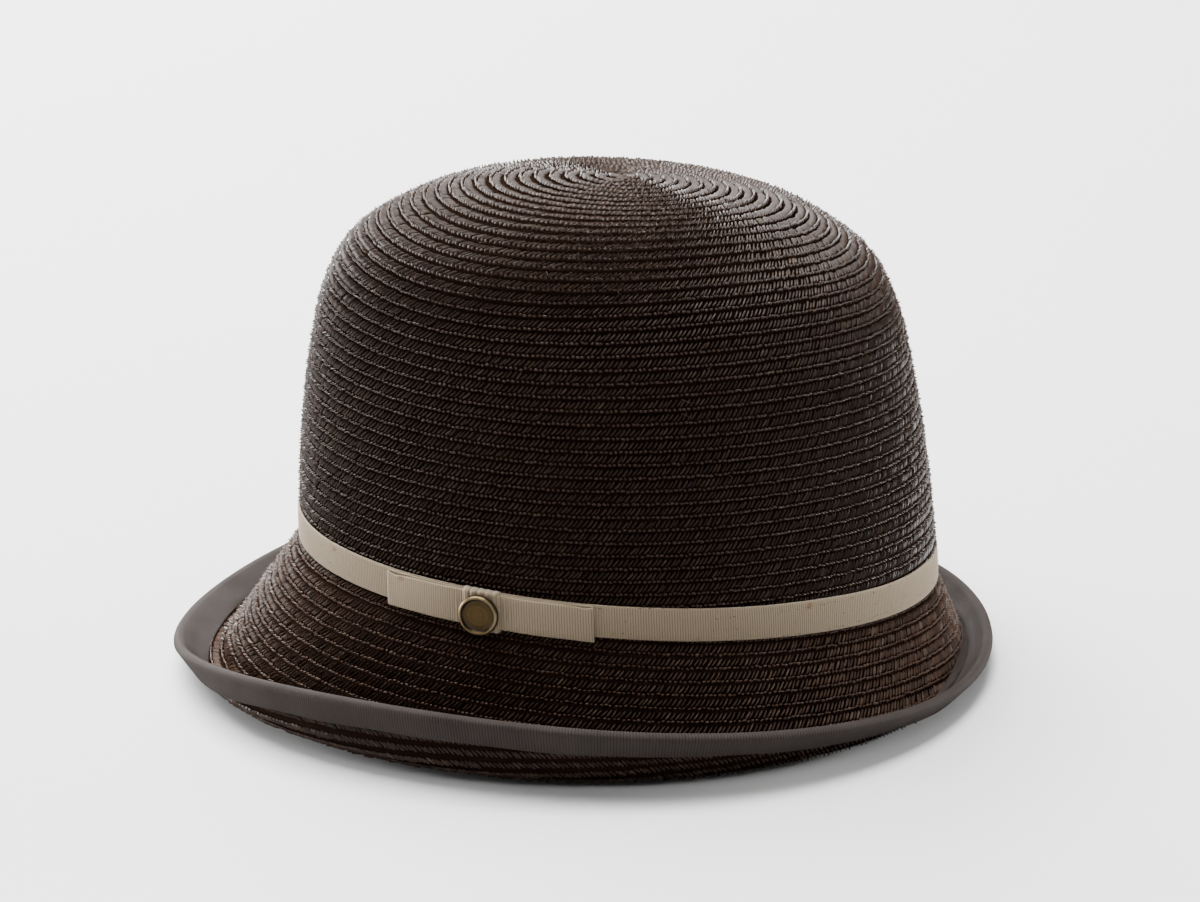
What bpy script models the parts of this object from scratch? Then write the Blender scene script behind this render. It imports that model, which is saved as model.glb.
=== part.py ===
"""Cloche hat of sewn straw braid: crown, bell-shaped brim with a turned-up edge,
ribbon band with a flat bow, knot and metal button, and a ribbon binding on the edge.

Metres, +Z up. The front of the hat is towards -Y and the wearer's left is +X.
"""
from math import asin, atan2, cos, hypot, pi, radians, sin, sqrt

import bmesh
import bpy
import numpy as np

MM = 0.001

# Head opening and crown
HEAD_HALF_LENGTH = 99.5 * MM
HEAD_HALF_WIDTH = 87.0 * MM
BAND_LINE_HEIGHT = 32.1 * MM
BAND_TILT = radians(6.2)
CROWN_HEIGHT = 117.6 * MM
CROWN_TILT = radians(4.4)
CROWN_LEAN = 4.6 * MM
TIP_SETBACK = 4.6 * MM
STRAW_THICKNESS = 1.6 * MM

# Brim
BRIM_FLARE = 23.0 * MM
FRONT_LIFT = 3.0 * MM
RIM_REACH = 20.0 * MM
RIM_RISE = 20.5 * MM
ROLL_RADIUS = 16.0 * MM

# Ribbon
BAND_WIDTH = 10.0 * MM
RIBBON_THICKNESS = 1.0 * MM
BOW_LENGTH = 62.0 * MM
BOW_WIDTH = 11.2 * MM
BOW_DROP = 1.0 * MM
BOW_THICKNESS = 1.6 * MM
BOW_ANGLE = radians(44.0)
KNOT_WIDTH = 10.5 * MM
BINDING_WIDTH = 10.5 * MM

# Button
BUTTON_DIAMETER = 12.0 * MM
BUTTON_HEIGHT = 2.4 * MM
BUTTON_RECESS = 0.7 * MM
BUTTON_RIM = 1.3 * MM
BUTTON_DROP = 0.7 * MM

# Space left between neighbouring pieces
GAP = 0.3 * MM

# Facets round the hat, and rows of facets on each piece
AROUND = 60
CROWN_ROWS = 15
FLARE_ROWS = 3
ROLL_ROWS = 5
BINDING_ROWS = 4

# Crown outline: height above the band line as a share of the crown height,
# and distance out as a share of the head's half sizes
CROWN_OUTLINE = (
    # up    out
    (0.00, 1.000),
    (0.15, 0.992),
    (0.35, 0.967),
    (0.55, 0.927),
    (0.70, 0.882),
    (0.82, 0.802),
    (0.90, 0.668),
    (0.96, 0.492),
    (1.00, 0.000),
)

# Brim shape every eighth of a turn, from the front towards the wearer's left:
# shares of BRIM_FLARE, FRONT_LIFT, RIM_REACH, RIM_RISE and ROLL_RADIUS
BRIM_SHAPE = (
    # flare lift  reach rise  roll
    (1.10, 0.90, 0.50, 0.56, 0.50),   # front
    (0.80, 0.46, 0.56, 0.94, 0.50),
    (0.75, 0.00, 0.71, 0.68, 0.36),   # left
    (0.60, 0.30, 0.28, 0.24, 0.20),
    (0.42, 0.40, 0.26, 0.22, 0.18),   # back
    (0.66, 0.40, 0.30, 0.30, 0.20),
    (0.88, 0.05, 0.84, 0.50, 0.42),   # right
    (1.25, 0.35, 0.58, 0.16, 0.30),
)


def clear_scene():
    for item in list(bpy.data.objects):
        bpy.data.objects.remove(item, do_unlink=True)
    for mesh in list(bpy.data.meshes):
        bpy.data.meshes.remove(mesh)


def round_table(table, angle):
    """Smooth values at an angle from rows spaced evenly round a full turn."""
    rows = np.array(table)
    count = len(rows)
    values = rows.mean(axis=0)
    for order in range(1, count // 2 + 1):
        share = 1.0 / count if order * 2 == count else 2.0 / count
        for row in range(count):
            values = values + share * rows[row] * cos(order * (angle - row * 2 * pi / count))
    return values


def smooth_curve(points, steps):
    """Curve through the points, bending gently at each, as evenly spaced rows."""
    knots = np.array(points)
    before = 2 * knots[0] - knots[1]
    after = knots[-2] * np.array([1.0, -1.0])
    knots = np.vstack([before, knots, after])
    fine = []
    for p0, p1, p2, p3 in zip(knots[:-3], knots[1:-2], knots[2:-1], knots[3:]):
        t1 = sqrt(hypot(*(p1 - p0)))
        t2 = t1 + sqrt(hypot(*(p2 - p1)))
        t3 = t2 + sqrt(hypot(*(p3 - p2)))
        for t in np.linspace(t1, t2, 12, endpoint=False):
            a1 = ((t1 - t) * p0 + t * p1) / t1
            a2 = ((t2 - t) * p1 + (t - t1) * p2) / (t2 - t1)
            a3 = ((t3 - t) * p2 + (t - t2) * p3) / (t3 - t2)
            b1 = ((t2 - t) * a1 + t * a2) / t2
            b2 = ((t3 - t) * a2 + (t - t1) * a3) / (t3 - t1)
            fine.append(((t2 - t) * b1 + (t - t1) * b2) / (t2 - t1))
    fine.append(knots[-2])
    fine = np.array(fine)
    length = np.concatenate([[0.0], np.cumsum(np.hypot(*np.diff(fine, axis=0).T))])
    even = np.linspace(0.0, length[-1], steps)
    return np.column_stack([np.interp(even, length, fine[:, 0]), np.interp(even, length, fine[:, 1])])


def crown_sections():
    """Height and share outwards of sections from the band line to the tip, in metres and shares."""
    scale = CROWN_HEIGHT / HEAD_HALF_LENGTH
    curve = smooth_curve([(up * scale, out) for up, out in CROWN_OUTLINE], 240)
    return np.column_stack([curve[:, 0] / scale * CROWN_HEIGHT, curve[:, 1]])


SECTIONS = crown_sections()


def crown_point(angle, height, out):
    """Point on the outside of the crown, at a height above the band line."""
    up = height / CROWN_HEIGHT
    tilt = BAND_TILT + (CROWN_TILT - BAND_TILT) * min(1.0, 1.6 * up)
    forward = out * HEAD_HALF_LENGTH * cos(angle)
    shift = CROWN_LEAN * up - TIP_SETBACK * up ** 6
    return np.array([
        out * HEAD_HALF_WIDTH * sin(angle),
        -forward * cos(tilt) - shift,
        BAND_LINE_HEIGHT + height + forward * sin(tilt),
    ])


def wall_normal(angle):
    """Level direction out of the head oval."""
    across = np.array([HEAD_HALF_LENGTH * sin(angle), -HEAD_HALF_WIDTH * cos(angle), 0.0])
    return across / hypot(across[0], across[1])


def wall_point(angle, height, proud):
    """Point in front of the wall near the band line."""
    out = float(np.interp(height, SECTIONS[:, 0], SECTIONS[:, 1]))
    return crown_point(angle, height, out) + wall_normal(angle) * proud


def brim_section(angle):
    """Flare line, low roll and rim line of the brim's upper face at one angle."""
    flare, lift, reach, rise, roll = round_table(BRIM_SHAPE, angle)
    start = np.array([0.0, crown_point(angle, 0.0, 1.0)[2]])
    low = np.array([flare * BRIM_FLARE, STRAW_THICKNESS + lift * FRONT_LIFT])
    radius = roll * ROLL_RADIUS
    centre = low + [0.0, radius]
    edge = low + [reach * RIM_REACH, rise * RIM_RISE]
    inward = centre - start
    first = sqrt(inward @ inward - radius ** 2)
    down = atan2(inward[1], inward[0]) - asin(radius / hypot(*inward))
    outward = edge - centre
    last = sqrt(outward @ outward - radius ** 2)
    up = atan2(outward[1], outward[0]) + atan2(radius, last)
    return start, centre, radius, down, up, first, last


def brim_length(angle):
    start, centre, radius, down, up, first, last = brim_section(angle)
    return first + radius * (up - down) + last


def brim_stations(angle):
    """Distances of the rows from the band line to the ribbon, and from there to the edge."""
    ribbon = brim_length(angle) - BINDING_WIDTH
    flare = min(brim_section(angle)[5], 0.75 * ribbon)
    open_rows = list(np.linspace(0.0, flare, FLARE_ROWS + 1)[:-1])
    open_rows += list(np.linspace(flare, ribbon, ROLL_ROWS + 1)[:-1])
    edge_rows = list(np.linspace(ribbon, brim_length(angle) - RIBBON_THICKNESS, BINDING_ROWS + 1))
    return open_rows, edge_rows


def brim_point(angle, distance, proud):
    """Point at a distance along the brim from the band line, proud of its upper face."""
    start, centre, radius, down, up, first, last = brim_section(angle)
    roll = radius * (up - down)
    if distance < first:
        slope = down
        place = start + distance * np.array([cos(slope), sin(slope)])
    elif distance < first + roll:
        slope = down + (distance - first) / radius
        place = centre + radius * np.array([sin(slope), -cos(slope)])
    else:
        slope = up
        place = centre + radius * np.array([sin(slope), -cos(slope)])
        place = place + (distance - first - roll) * np.array([cos(slope), sin(slope)])
    place = place + proud * np.array([-sin(slope), cos(slope)])
    base = crown_point(angle, 0.0, 1.0)
    level = np.array([base[0], base[1], 0.0])
    level = level / hypot(level[0], level[1])
    return np.array([base[0], base[1], 0.0]) + level * place[0] + np.array([0.0, 0.0, place[1]])


def angles(count):
    return [2 * pi * step / count for step in range(count)]


def surface_normals(rows):
    """Unit normals of a grid that closes on itself round the hat, pointing out of the hat."""
    grid = np.array(rows)
    along = np.gradient(grid, axis=0)
    around = np.roll(grid, -1, axis=1) - np.roll(grid, 1, axis=1)
    normals = np.cross(around, along)
    length = np.linalg.norm(normals, axis=2, keepdims=True)
    return normals / np.maximum(length, 1e-12)


def new_object(name, surface, vertices, faces, flat_angle):
    mesh = bpy.data.meshes.new(name)
    mesh.from_pydata([tuple(v) for v in vertices], [], faces)
    mesh.validate()
    shape = bmesh.new()
    shape.from_mesh(mesh)
    bmesh.ops.recalc_face_normals(shape, faces=shape.faces)
    if shape.calc_volume(signed=True) < 0:
        bmesh.ops.reverse_faces(shape, faces=shape.faces)
    shape.to_mesh(mesh)
    shape.free()
    item = bpy.data.objects.new(name, mesh)
    bpy.context.scene.collection.objects.link(item)
    mesh.materials.append(surface)
    for face in mesh.polygons:
        face.use_smooth = True
    mesh.set_sharp_from_angle(angle=flat_angle)
    return item


def sheet_object(name, surface, outer, inner, tip=None):
    """Closed wall between two grids of rows round the hat; the last row may close at a tip."""
    rows = len(outer)
    count = len(outer[0])
    vertices = [v for row in outer for v in row] + [v for row in inner for v in row]
    shift = rows * count
    faces = []
    for row in range(rows - 1):
        for step in range(count):
            after = (step + 1) % count
            a, b = row * count + step, row * count + after
            c, d = (row + 1) * count + after, (row + 1) * count + step
            faces.append((a, b, c, d))
            faces.append((shift + d, shift + c, shift + b, shift + a))
    for step in range(count):
        after = (step + 1) % count
        faces.append((step, shift + step, shift + after, after))
    last = (rows - 1) * count
    if tip is None:
        for step in range(count):
            after = (step + 1) % count
            faces.append((last + step, last + after, shift + last + after, shift + last + step))
    else:
        vertices += [tip[0], tip[1]]
        top, under = len(vertices) - 2, len(vertices) - 1
        for step in range(count):
            after = (step + 1) % count
            faces.append((last + step, last + after, top))
            faces.append((shift + last + after, shift + last + step, under))
    return new_object(name, surface, vertices, faces, radians(50))


def loop_object(name, surface, sections, closed):
    """Closed body from sections with the same number of corners; open runs get end faces."""
    count = len(sections[0])
    vertices = [v for section in sections for v in section]
    total = len(sections)
    faces = []
    for place in range(total if closed else total - 1):
        after = (place + 1) % total
        for corner in range(count):
            turn = (corner + 1) % count
            faces.append((place * count + corner, after * count + corner, after * count + turn, place * count + turn))
    if not closed:
        faces.append(tuple(range(count)))
        faces.append(tuple((total - 1) * count + corner for corner in reversed(range(count))))
    return new_object(name, surface, vertices, faces, radians(40))


def make_material(name, colour, roughness, metallic=0.0):
    surface = bpy.data.materials.new(name)
    surface.use_nodes = True
    shader = surface.node_tree.nodes["Principled BSDF"]
    shader.inputs["Base Color"].default_value = (*colour, 1.0)
    shader.inputs["Roughness"].default_value = roughness
    shader.inputs["Metallic"].default_value = metallic
    surface.diffuse_color = (*colour, 1.0)
    return surface


def make_crown(surface):
    """Dome of straw from the middle of the band up to the tip."""
    seam = BAND_WIDTH / 2 + GAP / 2
    run = np.concatenate([[0.0], np.cumsum(np.hypot(
        np.diff(SECTIONS[:, 0]), np.diff(SECTIONS[:, 1]) * HEAD_HALF_LENGTH))])
    start = float(np.interp(seam, SECTIONS[:, 0], run))
    outer = []
    for distance in np.linspace(start, run[-1], CROWN_ROWS + 1)[:-1]:
        height = float(np.interp(distance, run, SECTIONS[:, 0]))
        out = float(np.interp(distance, run, SECTIONS[:, 1]))
        outer.append([crown_point(angle, height, out) for angle in angles(AROUND)])
    normals = surface_normals(outer)
    inner = np.array(outer) - normals * STRAW_THICKNESS
    tip = crown_point(0.0, CROWN_HEIGHT, 0.0)
    return sheet_object("crown", surface, outer, inner, (tip, tip - np.array([0.0, 0.0, STRAW_THICKNESS])))


def make_brim(surface):
    """Straw from the middle of the band down the flare, round the low roll and up the rim."""
    seam = BAND_WIDTH / 2 - GAP / 2
    outer = []
    inner = []
    for angle in angles(AROUND):
        open_rows, edge_rows = brim_stations(angle)
        rows = open_rows + edge_rows[:-1] + [edge_rows[-1] - GAP]
        upper = [wall_point(angle, seam, 0.0)]
        lower = [wall_point(angle, seam, -STRAW_THICKNESS)]
        upper += [brim_point(angle, distance, 0.0) for distance in rows]
        lower += [brim_point(angle, distance, -STRAW_THICKNESS) for distance in rows]
        outer.append(upper)
        inner.append(lower)
    outer = [list(row) for row in zip(*outer)]
    inner = [list(row) for row in zip(*inner)]
    return sheet_object("brim", surface, outer[::-1], inner[::-1])


def make_band(surface):
    """Ribbon lying flat round the wall, over the seam between crown and brim."""
    near, far = GAP, GAP + RIBBON_THICKNESS
    sections = []
    for angle in angles(AROUND):
        sections.append([
            wall_point(angle, GAP, near),
            wall_point(angle, GAP, far),
            wall_point(angle, GAP + BAND_WIDTH, far),
            wall_point(angle, GAP + BAND_WIDTH, near),
        ])
    return loop_object("band", surface, sections, True)


def bow_span(width):
    """Angles either side of the knot that hold a width along the wall."""
    round_here = hypot(HEAD_HALF_WIDTH * cos(BOW_ANGLE), HEAD_HALF_LENGTH * sin(BOW_ANGLE))
    half = width / 2 / round_here
    return BOW_ANGLE - half, BOW_ANGLE + half


def make_bow(surface):
    """Ribbon folded flat on itself, with a rounded fold at each end."""
    start, end = bow_span(BOW_LENGTH)
    near = 2 * GAP + RIBBON_THICKNESS
    low = GAP - BOW_DROP
    middle = near + BOW_THICKNESS / 2
    sections = []
    fold = BOW_THICKNESS / 2 / HEAD_HALF_LENGTH
    steps = [(start, 0.15), (start + 0.3 * fold, 0.7), (start + fold, 1.0)]
    steps += [(angle, 1.0) for angle in np.linspace(start + fold, end - fold, 16)[1:-1]]
    steps += [(end - fold, 1.0), (end - 0.3 * fold, 0.7), (end, 0.15)]
    for angle, share in steps:
        half = BOW_THICKNESS / 2 * share
        sections.append([
            wall_point(angle, low, middle - half),
            wall_point(angle, low, middle + half),
            wall_point(angle, low + BOW_WIDTH, middle + half),
            wall_point(angle, low + BOW_WIDTH, middle - half),
        ])
    return loop_object("bow", surface, sections, False)


def make_knot(surface):
    """Ribbon wrapped over the middle of the bow, turned in above and below it."""
    start, end = bow_span(KNOT_WIDTH)
    near = 2 * GAP + RIBBON_THICKNESS
    front = near + BOW_THICKNESS + GAP
    low = GAP - BOW_DROP - GAP
    high = GAP - BOW_DROP + BOW_WIDTH + GAP
    sections = []
    for angle in np.linspace(start, end, 6):
        sections.append([
            wall_point(angle, low - RIBBON_THICKNESS, near),
            wall_point(angle, low - RIBBON_THICKNESS, front + 0.6 * RIBBON_THICKNESS),
            wall_point(angle, low - 0.6 * RIBBON_THICKNESS, front + RIBBON_THICKNESS),
            wall_point(angle, high + 0.6 * RIBBON_THICKNESS, front + RIBBON_THICKNESS),
            wall_point(angle, high + RIBBON_THICKNESS, front + 0.6 * RIBBON_THICKNESS),
            wall_point(angle, high + RIBBON_THICKNESS, near),
            wall_point(angle, high, near),
            wall_point(angle, high, front),
            wall_point(angle, low, front),
            wall_point(angle, low, near),
        ])
    return loop_object("knot", surface, sections, False)


def make_button(surface):
    """Round metal button with a raised rim and a plain sunk face."""
    back = 3 * GAP + 2 * RIBBON_THICKNESS + BOW_THICKNESS
    outline = (
        # radius as a share of the button's, height as a share of its height
        (0.90, 0.00),
        (1.00, 0.25),
        (1.00, 0.65),
        (0.95, 0.90),
        (0.88, 1.00),
    )
    radius = BUTTON_DIAMETER / 2
    profile = [(share * radius, up * BUTTON_HEIGHT) for share, up in outline]
    profile.append((radius - BUTTON_RIM, BUTTON_HEIGHT - 0.3 * BUTTON_RECESS))
    profile.append((radius - 1.2 * BUTTON_RIM, BUTTON_HEIGHT - BUTTON_RECESS))
    profile.append((0.4 * radius, BUTTON_HEIGHT - 0.8 * BUTTON_RECESS))
    middle = GAP - BOW_DROP + BOW_WIDTH / 2 - BUTTON_DROP
    centre = wall_point(BOW_ANGLE, middle, back)
    forward = wall_normal(BOW_ANGLE)
    up = np.array([0.0, 0.0, 1.0])
    side = np.cross(up, forward)
    count = 24
    vertices = []
    for reach, height in profile:
        for turn in angles(count):
            vertices.append(centre + forward * height + (side * cos(turn) + up * sin(turn)) * reach)
    faces = []
    for ring in range(len(profile) - 1):
        for step in range(count):
            after = (step + 1) % count
            faces.append((ring * count + step, ring * count + after,
                          (ring + 1) * count + after, (ring + 1) * count + step))
    faces.append(tuple(reversed(range(count))))
    faces.append(tuple((len(profile) - 1) * count + step for step in range(count)))
    return new_object("button", surface, vertices, faces, radians(35))


def make_binding(surface):
    """Ribbon folded over the brim's edge, with one face above and one below."""
    near, far = GAP, GAP + RIBBON_THICKNESS
    above, below = near, -STRAW_THICKNESS - near
    sections = []
    for angle in angles(AROUND):
        end = brim_length(angle)
        spots = brim_stations(angle)[1]
        section = [brim_point(angle, spot, far) for spot in spots]
        section.append(brim_point(angle, end, above - 0.2 * STRAW_THICKNESS))
        section.append(brim_point(angle, end, below + 0.2 * STRAW_THICKNESS))
        section += [brim_point(angle, spot, -STRAW_THICKNESS - far) for spot in spots[::-1]]
        section += [brim_point(angle, spot, below) for spot in spots]
        section += [brim_point(angle, spot, above) for spot in spots[::-1]]
        sections.append(section)
    return loop_object("binding", surface, sections, True)


def centre_on_origin(items):
    """Move everything so that the whole rests on the ground, centred on the origin."""
    corners = np.array([v.co[:] for item in items for v in item.data.vertices])
    low, high = corners.min(axis=0), corners.max(axis=0)
    shift = np.array([(low[0] + high[0]) / 2, (low[1] + high[1]) / 2, low[2]])
    for item in items:
        for vertex in item.data.vertices:
            vertex.co = np.array(vertex.co[:]) - shift
        item.data.update()
    return shift


def main():
    clear_scene()
    straw = make_material("straw", (0.045, 0.029, 0.021), 0.50)
    brim_straw = make_material("brim_straw", (0.045, 0.029, 0.021), 0.50)
    ribbon = make_material("ribbon", (0.46, 0.40, 0.32), 0.75)
    bow_ribbon = make_material("bow_ribbon", (0.46, 0.40, 0.32), 0.75)
    knot_ribbon = make_material("knot_ribbon", (0.46, 0.40, 0.32), 0.75)
    edge_ribbon = make_material("edge_ribbon", (0.115, 0.094, 0.083), 0.75)
    brass = make_material("brass", (0.16, 0.11, 0.055), 0.38, 1.0)
    items = [
        make_crown(straw),
        make_brim(brim_straw),
        make_band(ribbon),
        make_bow(bow_ribbon),
        make_knot(knot_ribbon),
        make_button(brass),
        make_binding(edge_ribbon),
    ]
    centre_on_origin(items)


main()
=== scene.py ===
"""Sewn straw cloche: braid rows and their straws, ribbon band, flat bow, button and edge binding."""

import bpy
import numpy as np
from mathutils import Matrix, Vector
from numpy import arcsin, arctan2, cos, hypot, pi, radians, sin, sqrt


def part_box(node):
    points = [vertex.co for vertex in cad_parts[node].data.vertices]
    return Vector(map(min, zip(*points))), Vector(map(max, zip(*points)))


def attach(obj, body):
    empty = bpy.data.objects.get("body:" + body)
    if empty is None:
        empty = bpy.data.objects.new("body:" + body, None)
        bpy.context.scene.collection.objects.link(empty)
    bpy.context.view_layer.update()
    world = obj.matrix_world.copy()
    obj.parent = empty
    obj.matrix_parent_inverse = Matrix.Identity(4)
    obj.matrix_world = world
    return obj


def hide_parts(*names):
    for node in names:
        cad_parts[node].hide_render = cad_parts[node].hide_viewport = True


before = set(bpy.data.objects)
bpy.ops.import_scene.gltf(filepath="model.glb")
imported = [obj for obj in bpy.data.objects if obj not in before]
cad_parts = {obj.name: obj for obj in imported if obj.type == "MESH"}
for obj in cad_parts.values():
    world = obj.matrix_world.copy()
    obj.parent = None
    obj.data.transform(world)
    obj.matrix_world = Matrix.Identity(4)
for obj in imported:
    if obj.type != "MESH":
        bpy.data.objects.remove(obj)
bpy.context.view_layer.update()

MM = 0.001

# The hat's own sizes, the same as in the part
HEAD_HALF_LENGTH = 99.5 * MM
HEAD_HALF_WIDTH = 87.0 * MM
BAND_LINE_HEIGHT = 32.1 * MM
BAND_TILT = radians(6.2)
CROWN_HEIGHT = 117.6 * MM
CROWN_TILT = radians(4.4)
CROWN_LEAN = 4.6 * MM
TIP_SETBACK = 4.6 * MM
STRAW_THICKNESS = 1.6 * MM
BRIM_FLARE = 23.0 * MM
FRONT_LIFT = 3.0 * MM
RIM_REACH = 20.0 * MM
RIM_RISE = 20.5 * MM
ROLL_RADIUS = 16.0 * MM
BAND_WIDTH = 10.0 * MM
BOW_LENGTH = 62.0 * MM
BOW_WIDTH = 11.2 * MM
BOW_DROP = 1.0 * MM
BOW_ANGLE = radians(44.0)
KNOT_WIDTH = 10.5 * MM
BINDING_WIDTH = 10.5 * MM
BINDING_UNDER = 7.0 * MM
BUTTON_DIAMETER = 12.0 * MM
BUTTON_HEIGHT = 2.4 * MM
BUTTON_DROP = 0.7 * MM
GAP = 0.3 * MM

CROWN_OUTLINE = (
    # up    out
    (0.00, 1.000),
    (0.15, 0.992),
    (0.35, 0.967),
    (0.55, 0.927),
    (0.70, 0.882),
    (0.82, 0.802),
    (0.90, 0.668),
    (0.96, 0.492),
    (1.00, 0.000),
)
BRIM_SHAPE = (
    # flare lift  reach rise  roll
    (1.10, 0.90, 0.50, 0.56, 0.50),   # front
    (0.80, 0.46, 0.56, 0.94, 0.50),
    (0.75, 0.00, 0.71, 0.68, 0.36),   # left
    (0.60, 0.30, 0.28, 0.24, 0.20),
    (0.42, 0.40, 0.26, 0.22, 0.18),   # back
    (0.66, 0.40, 0.30, 0.30, 0.20),
    (0.88, 0.05, 0.84, 0.50, 0.42),   # right
    (1.25, 0.35, 0.58, 0.16, 0.30),
)

# Straw braid
ROW_PITCH = 3.85 * MM
CROWN_TURNS = 46
STITCH = 1.4 * MM
SKIN_AROUND = 300

# Ribbon weave
RIB_PITCH = 0.72 * MM
EDGE_RIB_PITCH = 0.85 * MM

# The view of the photograph
CAMERA_AZIMUTH = radians(65.0)
CAMERA_ELEVATION = radians(18.0)
CAMERA_DISTANCE = 1.2
LOOK_AT = np.array([0.0, 0.0, 0.0682])
FOCAL_PIXELS = 3947.4
CENTRE_PIXEL = (621.6, 435.9)
PHOTO_SIZE = (1200, 902)

random = np.random.default_rng(41)


def round_table(table, angle):
    """Smooth values at each angle from rows spaced evenly round a full turn."""
    rows = np.array(table)
    count = len(rows)
    values = rows.mean(axis=0)[:, None] + 0 * angle[None]
    for order in range(1, count // 2 + 1):
        share = 1.0 / count if order * 2 == count else 2.0 / count
        for row in range(count):
            values = values + share * rows[row][:, None] * cos(order * (angle - row * 2 * pi / count))[None]
    return values


def smooth_curve(points, steps):
    """Curve through the points, bending gently at each, as evenly spaced rows."""
    knots = np.array(points)
    before = 2 * knots[0] - knots[1]
    after = knots[-2] * np.array([1.0, -1.0])
    knots = np.vstack([before, knots, after])
    fine = []
    for p0, p1, p2, p3 in zip(knots[:-3], knots[1:-2], knots[2:-1], knots[3:]):
        t1 = sqrt(hypot(*(p1 - p0)))
        t2 = t1 + sqrt(hypot(*(p2 - p1)))
        t3 = t2 + sqrt(hypot(*(p3 - p2)))
        for t in np.linspace(t1, t2, 12, endpoint=False):
            a1 = ((t1 - t) * p0 + t * p1) / t1
            a2 = ((t2 - t) * p1 + (t - t1) * p2) / (t2 - t1)
            a3 = ((t3 - t) * p2 + (t - t2) * p3) / (t3 - t2)
            b1 = ((t2 - t) * a1 + t * a2) / t2
            b2 = ((t3 - t) * a2 + (t - t1) * a3) / (t3 - t1)
            fine.append(((t2 - t) * b1 + (t - t1) * b2) / (t2 - t1))
    fine.append(knots[-2])
    fine = np.array(fine)
    length = np.concatenate([[0.0], np.cumsum(np.hypot(*np.diff(fine, axis=0).T))])
    even = np.linspace(0.0, length[-1], steps)
    return np.column_stack([np.interp(even, length, fine[:, 0]), np.interp(even, length, fine[:, 1])])


def crown_sections():
    scale = CROWN_HEIGHT / HEAD_HALF_LENGTH
    curve = smooth_curve([(up * scale, out) for up, out in CROWN_OUTLINE], 240)
    return np.column_stack([curve[:, 0] / scale * CROWN_HEIGHT, curve[:, 1]])


SECTIONS = crown_sections()


def crown_point(angle, height, out):
    """Points on the outside of the crown, at heights above the band line."""
    up = height / CROWN_HEIGHT
    tilt = BAND_TILT + (CROWN_TILT - BAND_TILT) * np.minimum(1.0, 1.6 * up)
    forward = out * HEAD_HALF_LENGTH * cos(angle)
    shift = CROWN_LEAN * up - TIP_SETBACK * np.maximum(up, 0.0) ** 6
    return np.stack([
        out * HEAD_HALF_WIDTH * sin(angle),
        -forward * cos(tilt) - shift,
        BAND_LINE_HEIGHT + height + forward * sin(tilt),
    ], -1)


def wall_normal(angle):
    across = np.stack([HEAD_HALF_LENGTH * sin(angle), -HEAD_HALF_WIDTH * cos(angle), 0 * angle], -1)
    return across / hypot(across[..., 0], across[..., 1])[..., None]


def wall_point(angle, height, proud):
    """Points in front of the wall near the band line."""
    angle, height, proud = np.broadcast_arrays(angle, height, proud)
    out = np.interp(height, SECTIONS[:, 0], SECTIONS[:, 1])
    return crown_point(angle, height, out) + wall_normal(angle) * proud[..., None]


class Brim:
    """The brim's upper face at a set of angles, by distance from the band line."""

    def __init__(self, angle):
        flare, lift, reach, rise, roll = round_table(BRIM_SHAPE, angle)
        self.base = crown_point(angle, 0 * angle, 1 + 0 * angle)
        start = np.stack([0 * angle, self.base[:, 2]], -1)
        low = np.stack([flare * BRIM_FLARE, STRAW_THICKNESS + lift * FRONT_LIFT], -1)
        radius = roll * ROLL_RADIUS
        self.centre = low + np.stack([0 * radius, radius], -1)
        edge = low + np.stack([reach * RIM_REACH, rise * RIM_RISE], -1)
        inward = self.centre - start
        self.first = sqrt((inward ** 2).sum(-1) - radius ** 2)
        self.down = arctan2(inward[:, 1], inward[:, 0]) - arcsin(radius / hypot(inward[:, 0], inward[:, 1]))
        outward = edge - self.centre
        last = sqrt((outward ** 2).sum(-1) - radius ** 2)
        self.up = arctan2(outward[:, 1], outward[:, 0]) + arctan2(radius, last)
        self.radius = radius
        self.roll = radius * (self.up - self.down)
        self.length = self.first + self.roll + last
        self.level = self.base[:, :2] / hypot(self.base[:, 0], self.base[:, 1])[:, None]
        self.angle = angle

    def point(self, distance, proud):
        """Points (angle by angle) at a distance along the brim; before the band line they climb the wall."""
        slope = np.clip(self.down + (distance - self.first) / self.radius, self.down, self.up)
        place = self.centre + self.radius[:, None] * np.stack([sin(slope), -cos(slope)], -1)
        rest = np.minimum(distance - self.first, 0) + np.maximum(distance - self.first - self.roll, 0)
        place = place + rest[:, None] * np.stack([cos(slope), sin(slope)], -1)
        place = place + np.asarray(proud)[..., None] * np.stack([-sin(slope), cos(slope)], -1)
        spot = np.column_stack([self.base[:, :2] + self.level * place[:, :1], place[:, 1]])
        wall = wall_point(self.angle, np.maximum(-distance, 0.0), proud)
        return np.where((distance < 0)[:, None], wall, spot)


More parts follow.
